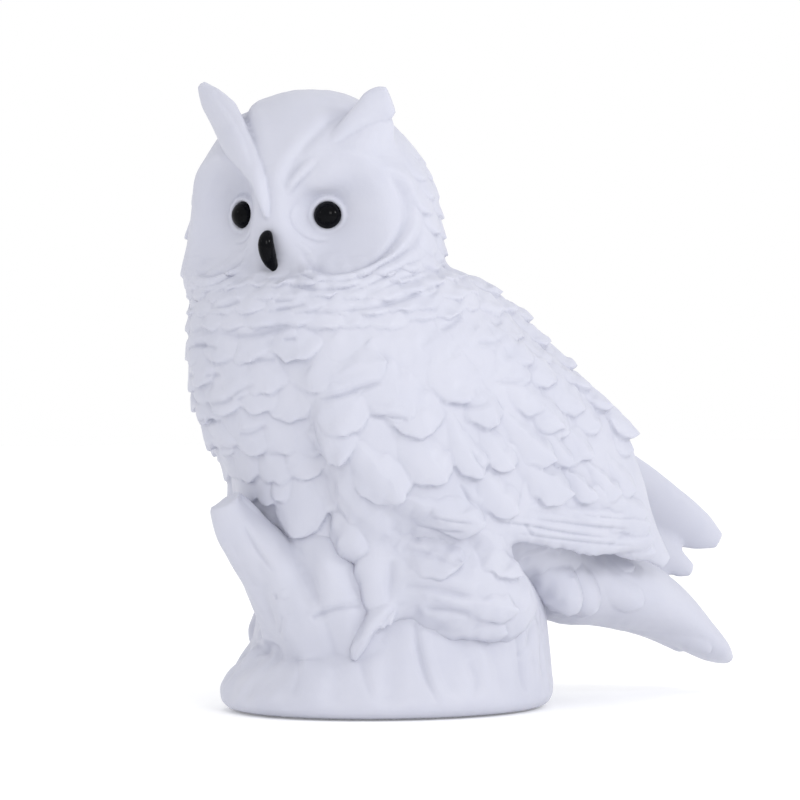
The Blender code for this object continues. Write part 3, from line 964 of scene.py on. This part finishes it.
def sculpt_bird(forms):
    """The whole bird but its eyes and beak: plain forms, feathers and face, fused and then drawn on."""
    points, faces = soft_hull(forms)
    surface = Surface(points, faces)
    clay = Clay()
    clay.add(points, faces)
    for shape in forms["tail"] + forms["left_foot"] + forms["right_foot"]:
        clay.add(*shape)
    for side in (1, -1):
        clay.add(*wing_form(side, CRISP_WING_START))
        for lobe in DOWN_LOBES:
            clay.add(*side_form(lobe, side))
    chest_feathers(clay, surface)
    ruff_feathers(clay, surface)
    back_feathers(clay, surface)
    nape_feathers(clay, surface)
    tail_feathers(clay, surface)
    for side in (1, -1):
        flank_feathers(clay, surface, side)
    face_details(clay)
    bird = clay.fuse("bird", BIRD_VOXEL, 2)
    points = read_points(bird)
    points += ragged_shift(points)
    normals = read_normals(bird)
    relief = face_relief(from_world(points)) * smoothstep(140, 150, points[:, 2])
    for side in (1, -1):
        relief -= 0.7 * etched(points, normals, side, FEATHER_LINES)
    write_points(bird, points + normals * relief[:, None])
    return bird


def make_eye(side):
    """A polished dome."""
    turn = turn_to(eye_axis(side))
    rings = []
    turns = np.linspace(0, 2 * math.pi, 48, endpoint=False)
    for angle in np.linspace(0.02, math.pi - 0.02, 32):
        radius = EYE_RADIUS * math.sin(angle)
        height = np.full(len(turns), -EYE_RADIUS * math.cos(angle))
        rings.append(np.stack((radius * np.cos(turns), radius * np.sin(turns), height), axis=1))
    points, faces = skin(np.array(rings))
    points = to_world(points @ turn.T + (LEFT_EYE if side > 0 else RIGHT_EYE))
    return plain_object("left_eye_dome" if side > 0 else "right_eye_dome", points, faces)


def make_beak():
    """A hooked beak."""
    points, faces = skin(limb_rings(BEAK_STATIONS, SIDEWAYS, per_span=8))
    return plain_object("owl_beak", to_world(points), faces)


def plain_object(name, points, faces):
    """A smooth shaded object of a closed skin."""
    mesh = bpy.data.meshes.new(name)
    mesh.from_pydata(points * MM, [], faces)
    mesh.shade_smooth()
    obj = bpy.data.objects.new(name, mesh)
    bpy.context.scene.collection.objects.link(obj)
    return obj


# ---------------------------------------------------------------- stump


def make_stump():
    """The stump with its broken branch, in lumpy bark with drawn cracks."""
    points, faces = skin(level_rings(STUMP_SECTIONS))
    clay = Clay()
    clay.add(points, faces)
    for stations in (BRANCH_STATIONS, SHOULDER_STATIONS):
        clay.add(*skin(limb_rings(stations, SIDEWAYS, segments=72)))
    stump = clay.fuse("tree_stump", STUMP_VOXEL, 5)
    points = read_points(stump)
    normals = read_normals(stump)
    upright = points * np.array((1, 1, 0.3))
    bark = 0.55 * wobble(upright, 9, 31) + 0.35 * wobble(upright, 4.5, 32)
    bark += 0.9 * wobble(points, 24, 33)
    bark *= smoothstep(1.5, 9, points[:, 2]) * (1 - smoothstep(0.6, 0.95, np.abs(normals[:, 2])))
    for side in (1, -1):
        bark -= 0.6 * etched(points, normals, side, BARK_LINES)
    write_points(stump, points + normals * bark[:, None])
    return stump


# ---------------------------------------------------------------- materials


class Look:
    """A procedural node material, built up with a few short calls."""

    def __init__(self, name, roughness, specular):
        self.made = bpy.data.materials.new(name)
        self.made.use_nodes = True
        self.tree = self.made.node_tree
        self.shader = self.tree.nodes["Principled BSDF"]
        self.shader.inputs["Roughness"].default_value = roughness
        self.shader.inputs["Specular IOR Level"].default_value = specular
        self.place = self.tree.nodes.new("ShaderNodeTexCoord").outputs["Object"]

    def noise(self, scale, detail, stretch=(1, 1, 1)):
        mapping = self.tree.nodes.new("ShaderNodeMapping")
        mapping.inputs["Scale"].default_value = stretch
        noise = self.tree.nodes.new("ShaderNodeTexNoise")
        noise.inputs["Scale"].default_value = scale
        noise.inputs["Detail"].default_value = detail
        self.tree.links.new(self.place, mapping.inputs["Vector"])
        self.tree.links.new(mapping.outputs["Vector"], noise.inputs["Vector"])
        return noise.outputs["Fac"]

    def ramp(self, value, *stops):
        """Colours or greys at places along a value."""
        ramp = self.tree.nodes.new("ShaderNodeValToRGB")
        while len(ramp.color_ramp.elements) < len(stops):
            ramp.color_ramp.elements.new(0.5)
        for element, (position, colour) in zip(ramp.color_ramp.elements, stops):
            element.position = position
            element.color = (*colour, 1)
        self.tree.links.new(value, ramp.inputs["Fac"])
        return ramp.outputs["Color"]

    def times(self, first, second):
        mix = self.tree.nodes.new("ShaderNodeMix")
        mix.data_type = "RGBA"
        mix.blend_type = "MULTIPLY"
        mix.inputs[0].default_value = 1
        self.tree.links.new(first, mix.inputs[6])
        self.tree.links.new(second, mix.inputs[7])
        return mix.outputs[2]

    def edges(self):
        """How far the surface bulges: below one half in a crease, above it on an edge."""
        return self.tree.nodes.new("ShaderNodeNewGeometry").outputs["Pointiness"]

    def colour(self, value):
        self.tree.links.new(value, self.shader.inputs["Base Color"])

    def gloss(self, value):
        self.tree.links.new(value, self.shader.inputs["Roughness"])

    def bump(self, height, strength, distance):
        """Adds a layer of bump over any that is there already."""
        bump = self.tree.nodes.new("ShaderNodeBump")
        bump.inputs["Strength"].default_value = strength
        bump.inputs["Distance"].default_value = distance
        normal = self.shader.inputs["Normal"]
        if normal.is_linked:
            self.tree.links.new(normal.links[0].from_socket, bump.inputs["Normal"])
        self.tree.links.new(height, bump.inputs["Height"])
        self.tree.links.new(bump.outputs["Normal"], normal)


def figure_white():
    """Cool white moulded plastic: faintly mottled, with a fine tooth, and with painted shade that darkens
    its creases.
    """
    look = Look("figure_white", 0.5, 0.3)
    tint = look.ramp(look.noise(60, 4), (0.3, (0.51, 0.52, 0.602)), (0.7, (0.535, 0.543, 0.62)))
    # Painted shade: the colour is darkened where the surface is creased, as shade falls there
    shade = look.ramp(look.edges(), (0.42, (0.72, 0.73, 0.78)), (0.5, (1, 1, 1)), (0.58, (1.0, 1.0, 1.0)))
    look.colour(look.times(tint, shade))
    look.gloss(look.ramp(look.noise(220, 3), (0.35, (0.46,) * 3), (0.65, (0.56,) * 3)))
    look.bump(look.noise(900, 3), 0.12, 0.0002)
    look.bump(look.noise(160, 4), 0.2, 0.0006)
    look.shader.inputs["Subsurface Weight"].default_value = 0.15
    look.shader.inputs["Subsurface Radius"].default_value = (1.0, 1.0, 1.1)
    look.shader.inputs["Subsurface Scale"].default_value = 0.0015
    return look.made


def plate_grey():
    """Light grey sheet, with a faint grain, and painted shade that darkens its creases."""
    look = Look("plate_grey", 0.5, 0.4)
    tint = look.ramp(look.noise(90, 4), (0.3, (0.55, 0.56, 0.58)), (0.7, (0.62, 0.63, 0.65)))
    # Painted shade: the colour is darkened where the surface is creased, as shade falls there
    crease_shade = look.ramp(look.edges(), (0.48, (0.85, 0.85, 0.86)), (0.54, (1, 1, 1)))
    look.colour(look.times(tint, crease_shade))
    look.gloss(look.ramp(look.noise(300, 3), (0.3, (0.42,) * 3), (0.7, (0.56,) * 3)))
    look.bump(look.noise(1200, 2), 0.15, 0.0001)
    return look.made


def pad_felt():
    """Short white felt: matted fibres, with painted shade that darkens the pits between them."""
    look = Look("pad_felt", 0.95, 0.1)
    fibres = look.noise(1500, 6, (1, 1, 0.4))
    tint = look.ramp(look.noise(120, 3), (0.3, (0.72, 0.73, 0.75)), (0.7, (0.82, 0.83, 0.85)))
    # Painted shade: the colour is darkened in the low pits of the fibre bump, as shade falls there
    pit_shade = look.ramp(fibres, (0.35, (0.8, 0.8, 0.8)), (0.6, (1, 1, 1)))
    look.colour(look.times(tint, pit_shade))
    look.shader.inputs["Sheen Weight"].default_value = 0.3
    look.bump(fibres, 0.6, 0.0004)
    return look.made


def gloss_black():
    """Black gloss paint, with the slight unevenness of a brushed coat."""
    look = Look("gloss_black", 0.1, 0.07)
    uneven = look.noise(300, 2)
    look.colour(look.ramp(uneven, (0.3, (0.0012, 0.0014, 0.0022)), (0.7, (0.0022, 0.0025, 0.0038))))
    look.gloss(look.ramp(look.noise(500, 2), (0.3, (0.07,) * 3), (0.7, (0.13,) * 3)))
    look.bump(look.noise(350, 2), 0.06, 0.0002)
    return look.made


# ---------------------------------------------------------------- studio


# What the camera looks at, to the rear and up in millimetres, and how many metres away it stands
VIEW_CENTRE = (4, 107)
CAMERA_DISTANCE = 1.16


def area_light(name, place, aim, size, power):
    """A square lamp, aimed at a point."""
    data = bpy.data.lights.new(name, "AREA")
    data.shape = "SQUARE"
    data.size = size
    data.energy = power
    light = bpy.data.objects.new(name, data)
    bpy.context.scene.collection.objects.link(light)
    light.location = Vector(place)
    light.rotation_euler = (Vector(aim) - light.location).to_track_quat("-Z", "Y").to_euler()


def pale_floor():
    """A wide sheet of white paper, which glows faintly so that it fades into the background."""
    bpy.ops.mesh.primitive_plane_add(size=12)
    floor = bpy.context.object
    floor.name = "floor"
    look = Look("paper", 0.9, 0.1)
    look.colour(look.ramp(look.noise(3, 2), (0.3, (0.96, 0.96, 0.96)), (0.7, (0.98, 0.98, 0.98))))
    look.shader.inputs["Emission Color"].default_value = (1, 1, 1, 1)
    look.shader.inputs["Emission Strength"].default_value = 0.12
    floor.data.materials.append(look.made)


def studio():
    """White surroundings, floor, lamps, and a level camera at the front quarter."""
    scene = bpy.context.scene
    scene.view_settings.view_transform = "Standard"
    world = bpy.data.worlds.new("studio")
    world.use_nodes = True
    world.node_tree.nodes["Background"].inputs["Color"].default_value = (1, 1, 1, 1)
    world.node_tree.nodes["Background"].inputs["Strength"].default_value = 1.0
    scene.world = world
    pale_floor()
    right, toward = (Vector(axis) for axis in quarter_axes(1))
    above = Vector(UP)
    centre = (right * VIEW_CENTRE[0] + above * VIEW_CENTRE[1]) * MM
    data = bpy.data.cameras.new("camera")
    data.lens = 150
    data.sensor_width = 36
    camera = bpy.data.objects.new("camera", data)
    scene.collection.objects.link(camera)
    camera.location = centre + toward * CAMERA_DISTANCE
    camera.rotation_euler = (-toward).to_track_quat("-Z", "Y").to_euler()
    scene.camera = camera
    area_light("key", centre + toward * 1.1 + right * 0.45 + above * 0.45, centre, 0.4, 3.0)
    area_light("right_side", centre + toward * 0.41 + right * 0.95 + above * 0.46, centre, 0.15, 2.0)
    area_light("left_side", centre + toward * 0.41 - right * 0.95 + above * 0.46, centre, 0.06, 0.3)


def place(obj, nodes, slot, look):
    """Puts a sculpted piece in the place of CAD nodes, with its material."""
    obj.data.materials.clear()
    obj.data.materials.append(look)
    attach(obj, "root")
    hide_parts(*nodes)


def main():
    """Makes every piece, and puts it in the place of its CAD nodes."""
    white = figure_white()
    black = gloss_black()
    forms = plain_forms()
    place(sculpt_bird(forms), list(forms), "figure_white", white)
    place(make_stump(), ["stump"], "figure_white", white)
    for side, word in ((1, "left"), (-1, "right")):
        place(make_eye(side), [word + "_eye"], "gloss_black", black)
    place(make_beak(), ["beak"], "gloss_black", black)
    for name, look in (("base_plate", plate_grey()), ("base_pad", pad_felt())):
        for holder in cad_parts[name].material_slots:
            holder.material = look
    studio()


main()
